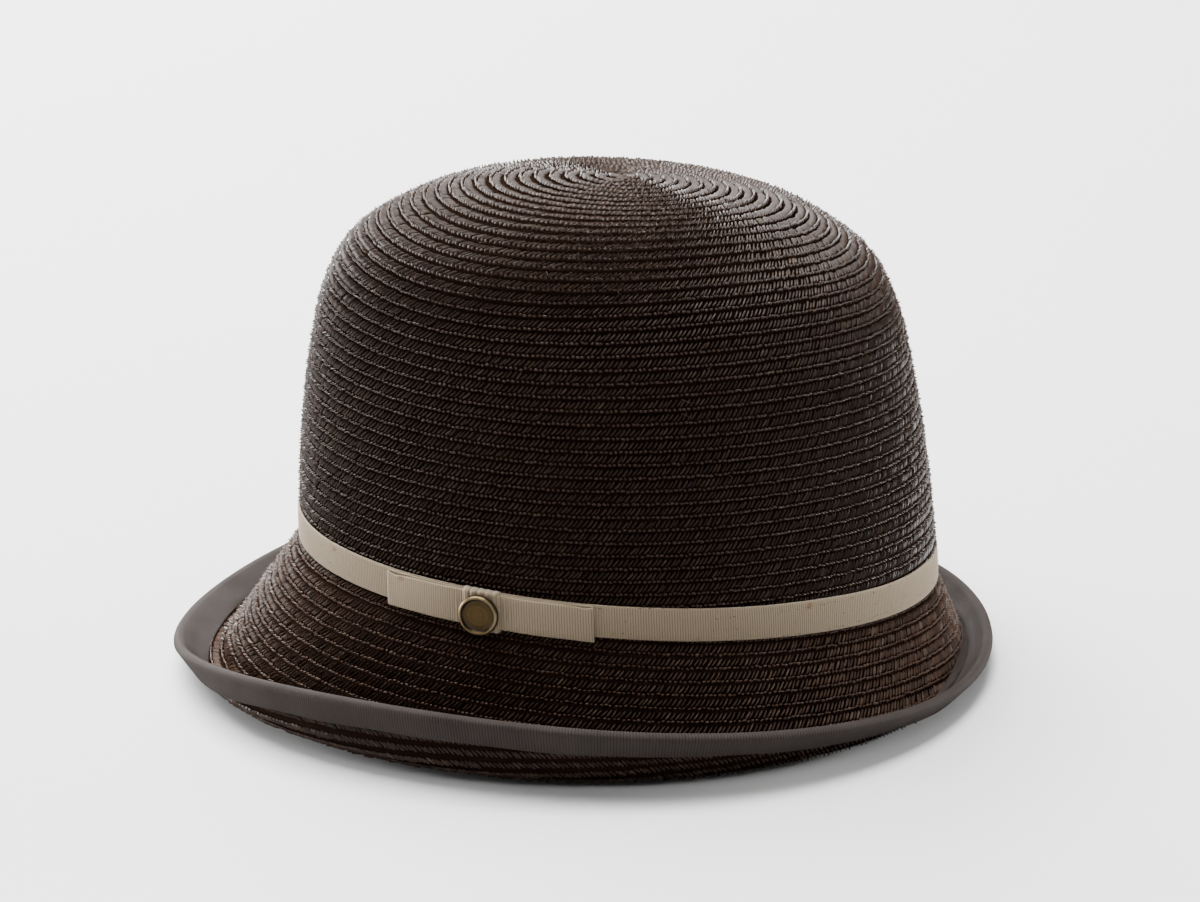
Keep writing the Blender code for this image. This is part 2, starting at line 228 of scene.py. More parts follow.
class Surface:
    """A grid of points round the hat, read at any angle and share of the way down."""

    def __init__(self, points, face=1.0):
        self.points = points
        step = 2 * pi / len(points)
        around = (np.roll(points, -1, 0) - np.roll(points, 1, 0)) / (2 * step)
        along = np.gradient(points, axis=1) * (points.shape[1] - 1)
        normal = np.cross(along, around) * face
        size = np.linalg.norm(normal, axis=2, keepdims=True)
        normal = normal / np.maximum(size, 1e-12)
        bad = size[..., 0] < 1e-9
        normal[bad] = (0, 0, 1)
        self.table = np.concatenate([
            points, normal,
            np.linalg.norm(around, axis=2, keepdims=True),
            np.linalg.norm(along, axis=2, keepdims=True),
        ], axis=2)

    def at(self, angle, share):
        """Point, normal, metres for each radian, metres for the whole way down."""
        count, rows = self.table.shape[:2]
        a = np.mod(angle, 2 * pi) / (2 * pi) * count
        b = np.clip(share, 0.0, 1.0) * (rows - 1)
        i = np.floor(a).astype(int)
        j = np.minimum(np.floor(b).astype(int), rows - 2)
        u = (a - i)[..., None]
        v = (b - j)[..., None]
        i, k = i % count, (i + 1) % count
        t = self.table
        value = (t[i, j] * (1 - u) + t[k, j] * u) * (1 - v) + (t[i, j + 1] * (1 - u) + t[k, j + 1] * u) * v
        return value[..., :3], value[..., 3:6], value[..., 6], value[..., 7]


GRID = 720
GRID_ANGLES = np.arange(GRID) * 2 * pi / GRID


def even_rows(points, rows):
    """The same surface with rows evenly spaced along each line from top to bottom."""
    length = np.cumsum(np.linalg.norm(np.diff(points, axis=1), axis=2), axis=1)
    length = np.concatenate([np.zeros((len(points), 1)), length], axis=1)
    out = np.empty((len(points), rows, 3))
    for line in range(len(points)):
        even = np.linspace(0.0, length[line, -1], rows)
        for axis in range(3):
            out[line, :, axis] = np.interp(even, length[line], points[line, :, axis])
    return out, length[:, -1]


def crown_surface():
    """Outside of the crown from the tip down to the band line, and the mean way down."""
    lines = np.stack([crown_point(GRID_ANGLES, h + 0 * GRID_ANGLES, o) for h, o in SECTIONS[::-1]], 1)
    points, length = even_rows(lines, 500)
    return points, length.mean()


CROWN_GRID, CROWN_LINE = crown_surface()
OVERLAP = 4.0 * MM
GRID_BRIM = Brim(GRID_ANGLES)
BRIM_LENGTH = GRID_BRIM.length


def brim_surface(proud):
    """The brim from just above the band line to its edge."""
    shares = np.linspace(0.0, 1.0, 200)
    lines = [GRID_BRIM.point(-OVERLAP + share * (BRIM_LENGTH + OVERLAP), proud + 0 * GRID_ANGLES) for share in shares]
    return np.stack(lines, 1)


def placing_shift():
    """How far the part moved the hat to centre it and rest it on the ground."""
    ring = 2 * pi / 60 * np.arange(60)
    seam = BAND_WIDTH / 2 + GAP / 2
    run = np.concatenate([[0.0], np.cumsum(hypot(
        np.diff(SECTIONS[:, 0]), np.diff(SECTIONS[:, 1]) * HEAD_HALF_LENGTH))])
    start = np.interp(seam, SECTIONS[:, 0], run)
    rows = []
    for distance in np.linspace(start, run[-1], 16)[:-1]:
        height = np.interp(distance, run, SECTIONS[:, 0])
        out = np.interp(distance, run, SECTIONS[:, 1])
        rows.append(crown_point(ring, height + 0 * ring, out + 0 * ring))
    rows.append(crown_point(ring, CROWN_HEIGHT + 0 * ring, 0 * ring))
    rows = np.concatenate(rows)
    low, high = (np.array(corner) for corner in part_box("crown"))
    shift = (low + high) / 2 - (rows.min(0) + rows.max(0)) / 2
    shift[2] = high[2] - rows[:, 2].max()
    return shift


SHIFT = placing_shift()


def build(name, points, faces, surface, body="root", uv=None, values=None):
    """Mesh object from arrays; faces is a list of index arrays with the same number of corners each."""
    mesh = bpy.data.meshes.new(name)
    points = np.asarray(points) + SHIFT
    mesh.vertices.add(len(points))
    mesh.vertices.foreach_set("co", points.ravel())
    loops = np.concatenate([f.ravel() for f in faces]).astype(np.int32)
    counts = np.concatenate([np.full(len(f), f.shape[1]) for f in faces])
    starts = np.concatenate([[0], np.cumsum(counts)[:-1]]).astype(np.int32)
    mesh.loops.add(len(loops))
    mesh.loops.foreach_set("vertex_index", loops)
    mesh.polygons.add(len(counts))
    mesh.polygons.foreach_set("loop_start", starts)
    mesh.update(calc_edges=True)
    mesh.validate()
    mesh.shade_smooth()
    if uv is not None:
        layer = mesh.uv_layers.new(name="OFBake")
        layer.data.foreach_set("uv", uv[loops].astype(np.float32).ravel())
    for key, value in (values or {}).items():
        layer = mesh.attributes.new(key, "FLOAT", "POINT")
        layer.data.foreach_set("value", value.astype(np.float32))
    mesh.materials.append(surface)
    piece = bpy.data.objects.new(name, mesh)
    bpy.context.scene.collection.objects.link(piece)
    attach(piece, body)
    return piece


class Nodes:
    """Short way to write a node material."""

    def __init__(self, name):
        self.material = bpy.data.materials.new(name)
        self.material.use_nodes = True
        self.tree = self.material.node_tree
        self.shader = self.tree.nodes["Principled BSDF"]

    def add(self, kind, **settings):
        node = self.tree.nodes.new(kind)
        for key, value in settings.items():
            if hasattr(node, key):
                setattr(node, key, value)
            else:
                node.inputs[key.replace("_", " ")].default_value = value
        return node

    def link(self, source, target):
        self.tree.links.new(source, target)

    def position(self):
        return self.add("ShaderNodeTexCoord").outputs["Object"]

    def noise(self, scale, detail=2.0, rough=0.5, vector=None, stretch=None):
        node = self.add("ShaderNodeTexNoise", Scale=scale, Detail=detail, Roughness=rough)
        vector = vector or self.position()
        if stretch is not None:
            mapping = self.add("ShaderNodeMapping")
            mapping.inputs["Scale"].default_value = stretch
            self.link(vector, mapping.inputs["Vector"])
            vector = mapping.outputs["Vector"]
        self.link(vector, node.inputs["Vector"])
        return node.outputs["Fac"]

    def value(self, name):
        node = self.add("ShaderNodeAttribute", attribute_name=name)
        return node.outputs["Fac"]

    def math(self, operation, a, b=None, clamp=False):
        node = self.add("ShaderNodeMath", operation=operation, use_clamp=clamp)
        for socket, item in zip(node.inputs, (a, b)):
            if item is None:
                continue
            if isinstance(item, (int, float)):
                socket.default_value = item
            else:
                self.link(item, socket)
        return node.outputs[0]

    def ramp(self, fac, stops):
        node = self.add("ShaderNodeValToRGB")
        ramp = node.color_ramp
        while len(ramp.elements) < len(stops):
            ramp.elements.new(0.5)
        for element, (place, colour) in zip(ramp.elements, stops):
            element.position = place
            element.color = (*colour, 1.0) if len(colour) == 3 else (colour[0],) * 3 + (1.0,)
        self.link(fac, node.inputs["Fac"])
        return node.outputs["Color"]

    def mix(self, fac, a, b, blend="MIX"):
        node = self.add("ShaderNodeMix", data_type="RGBA", blend_type=blend)
        for socket, item in ((node.inputs[0], fac), (node.inputs[6], a), (node.inputs[7], b)):
            if isinstance(item, (int, float)):
                socket.default_value = item
            elif isinstance(item, tuple):
                socket.default_value = (*item, 1.0)
            else:
                self.link(item, socket)
        return node.outputs[2]

    def spot(self, centre, radius, soft=0.5):
        """One inside a round patch about a point, fading to nought at its rim."""
        place = self.add("ShaderNodeVectorMath", operation="DISTANCE")
        self.link(self.position(), place.inputs[0])
        place.inputs[1].default_value = tuple(float(v) for v in centre)
        ragged = self.math("MULTIPLY", self.noise(900.0, 3.0), radius * 1.2)
        reach = self.math("ADD", place.outputs["Value"], ragged)
        scaled = self.math("DIVIDE", reach, radius)
        node = self.add("ShaderNodeMapRange", interpolation_type="SMOOTHSTEP")
        node.inputs["From Min"].default_value = 1.5
        node.inputs["From Max"].default_value = 1.5 - soft
        self.link(scaled, node.inputs["Value"])
        return node.outputs["Result"]

    def bump(self, height, strength, distance, under=None):
        node = self.add("ShaderNodeBump", Strength=strength, Distance=distance)
        self.link(height, node.inputs["Height"])
        if under is not None:
            self.link(under, node.inputs["Normal"])
        return node.outputs["Normal"]

    def out(self, colour=None, rough=None, normal=None, **sockets):
        if colour is not None:
            self.link(colour, self.shader.inputs["Base Color"])
        if rough is not None:
            self.link(rough, self.shader.inputs["Roughness"])
        if normal is not None:
            self.link(normal, self.shader.inputs["Normal"])
        for key, value in sockets.items():
            self.shader.inputs[key.replace("_", " ")].default_value = value
        return self.material


def straw_material(name, light=1.0, gloss=0.16):
    """Dyed glossy straw: each straw has its own shade, with fine streaks along it."""
    n = Nodes(name)
    tone = n.value("tone")
    patch = n.noise(38.0, 2.0)
    fine = n.noise(1300.0, 2.0)
    mixed = n.math("ADD", n.math("MULTIPLY", tone, 0.60), n.math("MULTIPLY", patch, 0.18))
    mixed = n.math("ADD", mixed, n.math("MULTIPLY", fine, 0.34))
    colour = n.ramp(mixed, [
        (0.10, (0.0072, 0.0038, 0.0025)),
        (0.34, (0.0108, 0.0052, 0.0031)),
        (0.56, (0.0170, 0.0076, 0.0041)),
        (0.76, (0.0235, 0.0132, 0.0080)),
        (0.97, (0.0420, 0.0305, 0.0220)),
    ])
    # A light above one brightens the whole colour: painted light, used for the straw copies on the brim and under it
    if light != 1.0:
        colour = n.mix(1.0, colour, (light, light ** 1.1, light ** 1.2), "MULTIPLY")
    streak = n.noise(1.0, 3.0, 0.6, n.add("ShaderNodeUVMap", uv_map="OFBake").outputs["UV"], (900.0, 2600.0, 1.0))
    rough = n.ramp(n.math("ADD", n.math("MULTIPLY", streak, 0.5), n.math("MULTIPLY", patch, 0.5)),
                   [(0.25, (0.30,)), (0.75, (0.48,))])
    normal = n.bump(streak, 0.35, 0.0002)
    return n.out(colour, rough, normal, Specular_IOR_Level=gloss, Specular_Tint=(1.0, 0.98, 0.95, 1.0))


def skin_material(name):
    """The ground between the straws, coloured darker than the straws: painted shade in the gaps between them."""
    n = Nodes(name)
    grain = n.noise(1100.0, 3.0, 0.6, None, (1.0, 1.0, 2.2))
    colour = n.ramp(n.math("ADD", n.math("MULTIPLY", grain, 0.7), n.math("MULTIPLY", n.noise(50.0), 0.3)), [
        (0.30, (0.0036, 0.0020, 0.0014)),
        (0.55, (0.0080, 0.0044, 0.0030)),
        (0.80, (0.0150, 0.0086, 0.0058)),
    ])
    rough = n.ramp(grain, [(0.2, (0.70,)), (0.8, (0.90,))])
    return n.out(colour, rough, n.bump(grain, 0.6, 0.0004), Specular_IOR_Level=0.0)


def ribbon_material(name, light, deep, spots=(), sheen=0.12, gloss=0.12):
    """Ribbed ribbon: crosswise ribs are in the mesh, with warp threads and soiling over them; colour darkened where
    the rib value is low is painted shade in the grooves and folds.
    """
    n = Nodes(name)
    thread = n.noise(2600.0, 2.0, 0.6)
    cloud = n.noise(60.0, 3.0, 0.6)
    rib = n.value("rib")
    colour = n.mix(n.math("MULTIPLY", cloud, 0.8), light, deep)
    # Painted shade: colour falls to 0.36 times where the rib value is nought, in the grooves between ribs, the knot's
    # pleat folds and the binding's edges
    painted_groove_shade = n.ramp(rib, [(0.0, (0.36,)), (0.60, (1.0,))])
    colour = n.mix(1.0, colour, painted_groove_shade, "MULTIPLY")
    weave = n.ramp(thread, [(0.30, (0.86,)), (0.65, (1.04,))])
    colour = n.mix(1.0, colour, weave, "MULTIPLY")
    for centre, radius, strength, tint in spots:
        colour = n.mix(n.math("MULTIPLY", n.spot(centre, radius), strength), colour, tint)
    rough = n.ramp(thread, [(0.3, (0.68,)), (0.7, (0.86,))])
    normal = n.bump(thread, 0.35, 0.0002)
    return n.out(colour, rough, normal, Specular_IOR_Level=gloss, Sheen_Weight=sheen, Sheen_Roughness=0.4)


def brass_material():
    """Aged brass: dark in the hollows, worn bright on the rim."""
    n = Nodes("aged_brass")
    brightened = n.value("brightened")
    patina = n.noise(420.0, 4.0, 0.65)
    fine = n.noise(2400.0, 2.0, 0.6)
    level = n.math("ADD", n.math("MULTIPLY", brightened, 0.75), n.math("MULTIPLY", patina, 0.35))
    colour = n.ramp(level, [
        (0.15, (0.012, 0.008, 0.004)),
        (0.45, (0.026, 0.017, 0.007)),
        (0.75, (0.048, 0.032, 0.014)),
        (0.98, (0.140, 0.104, 0.058)),
    ])
    rough = n.ramp(patina, [(0.2, (0.28,)), (0.8, (0.52,))])
    metal = n.ramp(level, [(0.1, (0.75,)), (0.5, (1.0,))])
    n.link(metal, n.shader.inputs["Metallic"])
    return n.out(colour, rough, n.bump(fine, 0.12, 0.0001), Specular_IOR_Level=0.5)


def stage_material():
    n = Nodes("studio_floor")
    tone = n.noise(3.0, 2.0)
    colour = n.ramp(tone, [(0.2, (0.48, 0.48, 0.48)), (0.8, (0.50, 0.50, 0.50))])
    rough = n.ramp(tone, [(0.2, (0.75,)), (0.8, (0.85,))])
    return n.out(colour, rough, None, Specular_IOR_Level=0.2)


def skin(name, surface, place, turns, material, profile, keep=1.0):
    """Spiral of overlapping rows; place(angle, row) gives the share of the way down."""
    around = SKIN_AROUND
    stations = np.arange(turns * around + 1)
    angle = stations * 2 * pi / around
    heights = np.array(profile)
    points, uvs = [], []
    for share, lift in heights:
        row = angle / (2 * pi) + share
        where = place(angle, row)
        spot, normal, _, _ = surface.at(angle, np.minimum(where, keep))
        points.append(spot + normal * lift)
        uvs.append(np.stack([np.mod(angle, 2 * pi) / (2 * pi), np.minimum(where, keep)], -1))
    count = len(heights)
    points = np.stack(points, 1).reshape(-1, 3)
    uvs = np.stack(uvs, 1).reshape(-1, 2)
    m = stations[:-1]
    quads = []
    for k in range(count - 1):
        quads.append(np.stack([m * count + k, (m + 1) * count + k, (m + 1) * count + k + 1, m * count + k + 1], -1))
    m = stations[:-1 - around]
    n = m + around
    quads.append(np.stack([m * count + count - 1, (m + 1) * count + count - 1, (n + 1) * count, n * count], -1))
    quads = np.concatenate(quads)
    corner = points[quads]
    size = np.linalg.norm(np.cross(corner[:, 2] - corner[:, 0], corner[:, 3] - corner[:, 1]), axis=1)
    quads = quads[size > 1e-11]
    return build(name, points, [quads], material, uv=uvs)


# A straw lies from start to end in its stitch: across and down, in millimetres, with its
# half width, the height of its ridge, and how far its two ends stand off the braid
STRAWS = {
    # name    start          end           half  ridge  off at start and end
    "grain": ((-1.00, 2.84), (0.98, 0.40), 0.25, 0.62, 0.08, -0.12),
    "bead": ((-0.52, 3.50), (0.52, 3.22), 0.36, 0.74, 0.46, 0.52),
}
RINGS = {"grain": ((0.22, 0.86), (0.5, 1.0), (0.8, 0.82)), "bead": ((0.30, 0.95), (0.72, 0.95))}


def straw_points(kind, where, angle, surface, bend):
    """Corner points of a set of straws; where is each stitch's share of the way down."""
    start, end, half, ridge, off_start, off_end = STRAWS[kind]
    count = len(angle)
    jitter = random.normal(0.0, 1.0, (6, count))
    su = start[0] + 0.12 * jitter[0]
    sv = start[1] + 0.14 * jitter[1]
    eu = end[0] + 0.14 * jitter[2]
    ev = end[1] + 0.14 * jitter[3]
    half = half * (1 + 0.12 * jitter[4])
    ridge = ridge * (1 + 0.26 * np.clip(jitter[5], -2.0, 2.0))
    du, dv = eu - su, ev - sv
    size = hypot(du, dv)
    pu, pv = -dv / size, du / size
    local, spread = [], []

    def corner(t, side, height):
        arch = bend * sin(pi * t)
        u = su + du * t + pu * (side * half + arch)
        v = sv + dv * t + pv * (side * half + arch)
        w = off_start + (off_end - off_start) * t + height + 0 * u
        local.append(np.stack([u, v, w], -1))
        spread.append((t, side))

    corner(0.0, 0.0, 0.0)
    for t, width in RINGS[kind]:
        corner(t, -width, -0.12)
        corner(t, 0.0, ridge)
        corner(t, width, -0.12)
    corner(1.0, 0.0, 0.0)
    local = np.stack(local, 1) * MM
    centre, normal, around, along = surface.at(angle, where)
    a = angle[:, None] + local[..., 0] / np.maximum(around, 1e-4)[:, None]
    b = where[:, None] + local[..., 1] / along[:, None]
    spot, normal, _, _ = surface.at(a, b)
    points = spot + normal * local[..., 2:]
    return points, np.stack([np.mod(angle, 2 * pi)[:, None] / (2 * pi) + (a - angle[:, None]) / (2 * pi), b], -1)


def straw_faces(rings):
    """Index lists for one straw with the given number of rings of three corners."""
    tris = [(0, 2, 1), (0, 3, 2)]
    quads = []
    for ring in range(rings - 1):
        base = 1 + 3 * ring
        quads.append((base, base + 1, base + 4, base + 3))
        quads.append((base + 1, base + 2, base + 5, base + 4))
    last = 1 + 3 * (rings - 1)
    tip = last + 3
    tris += [(last, last + 1, tip), (last + 1, last + 2, tip)]
    return np.array(tris), np.array(quads)


def braid(name, surface, place, first, last, material, kinds, keep, flip=False):
    """Straws of the rows first to last; keep(angle, where) says which stitches show."""
    angles_, wheres = [], []
    for turn in range(first, last):
        probe = np.arange(180) * 2 * pi / 180
        _, _, around, _ = surface.at(probe, place(probe, turn + 0.5 + probe / (2 * pi)))
        count = max(5, int(round(around.mean() * 2 * pi / STITCH)))
        run = np.concatenate([[0.0], np.cumsum(around)])
        even = (np.arange(count) + random.uniform(0, 1)) / count * run[-1]
        angle = np.interp(even, run, np.arange(181) * 2 * pi / 180)
        angles_.append(angle)
        wheres.append(place(angle, turn + angle / (2 * pi)))
    angle = np.concatenate(angles_)
    where = np.concatenate(wheres)
    shown = keep(angle, where)
    angle, where = angle[shown], where[shown]
    angle = angle + random.normal(0, 0.0006, len(angle))
    points, uvs, tris, quads, tones = [], [], [], [], []
    total = 0
    stitch_tone = random.uniform(0, 1, len(angle))
    for kind in kinds:
        spots, uv = straw_points(kind, where, angle, surface, -0.10 if kind == "bead" else 0.12)
        count, corners = spots.shape[:2]
        three, four = straw_faces((corners - 2) // 3)
        offset = total + np.arange(count)[:, None, None] * corners
        tris.append((offset + three[None]).reshape(-1, 3))
        quads.append((offset + four[None]).reshape(-1, 4))
        points.append(spots.reshape(-1, 3))
        uvs.append(uv.reshape(-1, 2))
        tone = 0.25 * stitch_tone + 0.75 * random.uniform(0, 1, count) ** 1.4
        # Bead tones are squeezed into 0.20 to 0.85, lifted out of the darkest: still random per straw, partly a
        # painted highlight on the beads
        if kind == "bead":
            tone = 0.20 + 0.65 * tone
        tones.append(np.repeat(tone, corners))
        total += count * corners
    points = np.concatenate(points)
    tris, quads = np.concatenate(tris), np.concatenate(quads)
    if flip:
        tris, quads = tris[:, ::-1], quads[:, ::-1]
    return build(name, points, [tris, quads], material, uv=np.concatenate(uvs), values={"tone": np.concatenate(tones)})


ROW_DRIFT = (
    # down   lower in front, lower away from the left side, waved in threes, in millimetres
    (0.00, 0.0, 0.0, 0.0),
    (0.10, 2.6, 0.9, 0.3),
    (0.20, 5.0, 2.0, 1.1),
    (0.30, 6.0, 2.3, 2.5),
    (0.45, 6.8, 1.2, 2.6),
    (0.65, 6.6, 0.6, 1.1),
    (1.00, 4.8, 0.1, 0.5),
)


def crown_place(angle, row):
    """Share of the way down the crown; the rows lie more level than the band line."""
    share = row / CROWN_TURNS
    down, front, aside, waved = (np.interp(share, np.array(ROW_DRIFT)[:, 0], column) for column in np.array(ROW_DRIFT).T)
    turn = angle - CAMERA_AZIMUTH
    drift = front * cos(angle) - aside * cos(2 * turn) - waved * sin(3 * turn)
    return down + drift * MM / CROWN_LINE


def lowered(points, depth):
    """Surface moved in along its normals."""
    grid = Surface(points)
    return points - grid.table[..., 3:6] * depth


SKIN_PROFILE = (
    # share of the row, lift
    (0.03, -0.95 * MM),
    (0.30, -0.70 * MM),
    (0.82, -0.20 * MM),
    (0.93, -0.30 * MM),
)
INSIDE_PROFILE = (
    (0.02, 0.0),
    (0.50, -0.25 * MM),
    (0.96, -0.45 * MM),
)


def make_straw():
    straw = straw_material("straw_dyed_brown")
    # The brim's straw is the same straw with its colour brightened 1.9 times, and the underside's 1.2 times: painted
    # light on the brim
    brightened = straw_material("brim_straw_dyed_brown_painted_light", 1.9, 0.11)
    under = straw_material("under_straw_dyed_brown_painted_light", 1.2)
    ground = skin_material("straw_ground_painted_shade")
    pieces = []

    outside = Surface(lowered(CROWN_GRID, 0.35 * MM))
    inside = Surface(lowered(CROWN_GRID, 1.30 * MM))

    turns = CROWN_TURNS + 2
    top = skin("crown_ground", outside, crown_place, turns, ground, SKIN_PROFILE, 1.0)
    lining = skin("crown_inside", inside, crown_place, turns, ground, INSIDE_PROFILE, 1.0)
    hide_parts("crown")

    def crown_shown(angle, where):
        return where < 1.0 - 3.4 / 176

    cuts = (0, 14, 23, 32, turns)
    names = ("crown_straw_tip", "crown_straw_shoulder", "crown_straw_side", "crown_straw_low")
    for name, first, last in zip(names, cuts[:-1], cuts[1:]):
        piece = braid(name, outside, crown_place, first, last, straw, ("grain", "bead"), crown_shown)
        pieces.append(piece)

    upper = Surface(lowered(brim_surface(0.0), 0.35 * MM))
    below = brim_surface(-STRAW_THICKNESS)
    lower = Surface(below + Surface(below).table[..., 3:6] * 0.35 * MM, -1.0)

    def reach(angle):
        turn = np.mod(angle, 2 * pi) / (2 * pi) * GRID
        at = np.floor(turn).astype(int) % GRID
        share = turn - np.floor(turn)
        return BRIM_LENGTH[at] * (1 - share) + BRIM_LENGTH[(at + 1) % GRID] * share + OVERLAP

    def brim_place(angle, row):
        return (row - 1) * ROW_PITCH / reach(angle)

    turns = int(np.ceil(BRIM_LENGTH.max() / ROW_PITCH)) + 2
    skin_up = skin("brim_ground", upper, brim_place, turns, ground, SKIN_PROFILE, 0.99)
    skin_low = skin("brim_ground_under", lower, brim_place, turns, ground, SKIN_PROFILE, 0.99)
    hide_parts("brim")

    def brim_shown(angle, where, width=BINDING_WIDTH):
        middle = where + 2.0 * MM / reach(angle)
        end = 1 - (width - 1.2 * MM) / reach(angle)
        return (middle > 0.5 * MM / reach(angle)) & (where < end - 1.4 * MM / reach(angle))

    half = 7
    for name, first, last in (("brim_straw_flare", 0, half), ("brim_straw_rim", half, turns)):
        piece = braid(name, upper, brim_place, first, last, brightened, ("grain", "bead"), brim_shown)
        pieces.append(piece)

    def under_shown(angle, where):
        return brim_shown(angle, where, BINDING_UNDER) & (where > 0.30)

    piece = braid("brim_straw_under", lower, brim_place, 2, turns, under, ("grain",), under_shown, True)
    pieces.append(piece)
    return pieces


def tube(name, sections, material, closed, rib, uv=None):
    """Skin over sections with the same number of corners; open runs get end faces."""
    total, count = sections.shape[:2]
    points = sections.reshape(-1, 3)
    places = np.arange(total if closed else total - 1)
    after = (places + 1) % total
    quads = []
    for corner in range(count):
        turn = (corner + 1) % count
        quads.append(np.stack([places * count + corner, after * count + corner,
                               after * count + turn, places * count + turn], -1))
    faces = [np.concatenate(quads)]
    if not closed:
        faces.append(np.arange(count)[None])
        faces.append(((total - 1) * count + np.arange(count)[::-1])[None])
    u = np.repeat(np.arange(total) / total, count)
    v = np.tile(np.arange(count) / count, total)
    return build(name, points, faces, material, uv=np.stack([u, v], -1), values={"rib": rib.reshape(-1)})


def slow_wave(angle, orders, size, seed):
    """Gentle unevenness round the hat."""
    pick = np.random.default_rng(seed)
    value = 0 * angle
    for order in orders:
        value = value + pick.normal() * cos(order * angle + pick.uniform(0, 2 * pi))
    return value * size / sqrt(len(orders))


def make_band(material):
    round_length = 588.0 * MM
    ribs = int(round_length / RIB_PITCH)
    count = ribs * 4
    angle = np.arange(count) * 2 * pi / count
    phase = np.arange(count) % 4
    rib = np.where(phase == 0, 0.0, np.where(phase == 2, 1.0, 0.72))
    relief = (rib - 1.0) * 0.20 * MM
    low = GAP + slow_wave(angle, range(3, 14), 0.10 * MM, 5)
    high = low + BAND_WIDTH + slow_wave(angle, range(3, 14), 0.10 * MM, 6)
    bulge = 0.95 * MM + slow_wave(angle, range(2, 9), 0.10 * MM, 7)
    rows, shade = [], []
    ends = ((0.0, 0.35, 0.0), (0.0, 0.9, 0.4), (0.035, 1.0, 0.8))
    for up, proud, ribbed in ends:
        rows.append(wall_point(angle, low + (high - low) * up + (1 - proud) * 0.10 * MM, bulge * proud + relief * ribbed))
        shade.append(1 - (1 - rib) * ribbed)
    for up in (0.10, 0.35, 0.65, 0.90):
        rows.append(wall_point(angle, low + (high - low) * up, bulge + relief + 0.12 * MM * sin(pi * up)))
        shade.append(rib)
    for up, proud, ribbed in ((0.965, 1.0, 0.8), (1.0, 0.9, 0.4), (1.0, 0.35, 0.0)):
        rows.append(wall_point(angle, low + (high - low) * up - (1 - proud) * 0.10 * MM, bulge * proud + relief * ribbed))
        shade.append(1 - (1 - rib) * ribbed)
    band = tube("ribbon_band", np.stack(rows, 1), material, True, np.stack(shade, 1))
    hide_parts("band")
    return band


def strip(name, path, angle_of, low, high, thickness, material, relief_size=0.12 * MM, pleats=None):
    """Ribbon along a path in the wall's plane: metres along the wall and proud of it."""
    step = np.linalg.norm(np.diff(path, axis=0), axis=1)
    run = np.concatenate([[0.0], np.cumsum(step)])
    count = int(run[-1] / RIB_PITCH) * 4
    even = np.linspace(0.0, run[-1], count)
    x = np.interp(even, run, path[:, 0])
    p = np.interp(even, run, path[:, 1])
    tangent = np.stack([np.gradient(x), np.gradient(p)], -1)
    tangent = tangent / np.linalg.norm(tangent, axis=1, keepdims=True)
    normal = np.stack([-tangent[:, 1], tangent[:, 0]], -1)
    phase = np.arange(count) % 4
    rib = np.where(phase == 0, 0.0, np.where(phase == 2, 1.0, 0.72))
    bottom = low(even, run[-1])
    top = high(even, run[-1])
    rows, shade = [], []
    sides = [(0.0, 0.30, 0.3), (0.04, 0.5, 1.0), (0.30, 0.5, 1.0), (0.55, 0.5, 1.0), (0.80, 0.5, 1.0),
             (0.96, 0.5, 1.0), (1.0, 0.30, 0.3), (1.0, -0.30, 0.3), (0.96, -0.5, 1.0), (0.5, -0.5, 1.0),
             (0.04, -0.5, 1.0), (0.0, -0.30, 0.3)]
    for up, side, ribbed in sides:
        off = side * thickness + np.sign(side) * (rib - 1.0) * relief_size * ribbed
        if pleats is not None:
            off = off + pleats(x, p, up)
        height = bottom + (top - bottom) * up
        rows.append(wall_point(angle_of(x + normal[:, 0] * off), height, p + normal[:, 1] * off))
        shade.append(1 - (1 - rib) * ribbed)
    return tube(name, np.stack(rows, 1), material, False, np.stack(shade, 1))


def around_bow(x):
    here = hypot(HEAD_HALF_WIDTH * cos(BOW_ANGLE), HEAD_HALF_LENGTH * sin(BOW_ANGLE))
    return BOW_ANGLE + x / here


def make_bow(material):
    """Two flat loops, each folded back on itself at its end."""
    back, front = 1.75 * MM, 2.85 * MM
    reach = BOW_LENGTH / 2
    loops = []
    for side, name in ((-1, "bow_loop_front"), (1, "bow_loop_back")):
        t = np.linspace(0.0, 1.0, 60)
        out = np.stack([side * (0.6 * MM + t * (reach - 1.3 * MM)),
                        front - 0.10 * MM + 0.34 * MM * sin(pi * t) ** 2], -1)
        turn = np.linspace(pi / 2, -pi / 2, 16)[1:-1]
        middle = (front + back) / 2 - 0.05 * MM
        radius = (front - back) / 2
        fold = np.stack([side * (reach - 0.7 * MM + 0.62 * MM * cos(turn)), middle + radius * sin(turn)], -1)
        home = np.stack([side * np.linspace(reach - 0.8 * MM, 1.5 * MM, 24), 0 * np.linspace(0, 1, 24) + back], -1)
        path = np.concatenate([out, fold, home])

        def low(run, total):
            near_end = np.exp(-((run - reach) / (7.0 * MM)) ** 2)
            return GAP - BOW_DROP + 0.35 * MM * (1 - near_end) * (run < reach)

        def high(run, total):
            first = run < reach
            tuck = np.exp(-np.abs(run - reach + 4.0 * MM) / (4.0 * MM)) if side < 0 else np.exp(
                -np.abs(run - reach + 3.0 * MM) / (3.0 * MM)) * 0.8
            return GAP - BOW_DROP + BOW_WIDTH - 0.25 * MM - first * tuck * 0.9 * MM

        def pleats(x, p, up):
            far = np.abs(x)
            fade = np.exp(-((far - 7.0 * MM) / (2.6 * MM)) ** 2) * (p > (front + back) / 2)
            if side < 0:
                fade = fade * 0.25
            return fade * 0.20 * MM * cos(2 * pi * far / (1.35 * MM) + 1.2 * up)

        loop = strip(name, path, around_bow, low, high, 0.45 * MM, material, 0.10 * MM, pleats)
        loops.append(loop)
    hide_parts("bow")
    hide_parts("bow")
    return loops


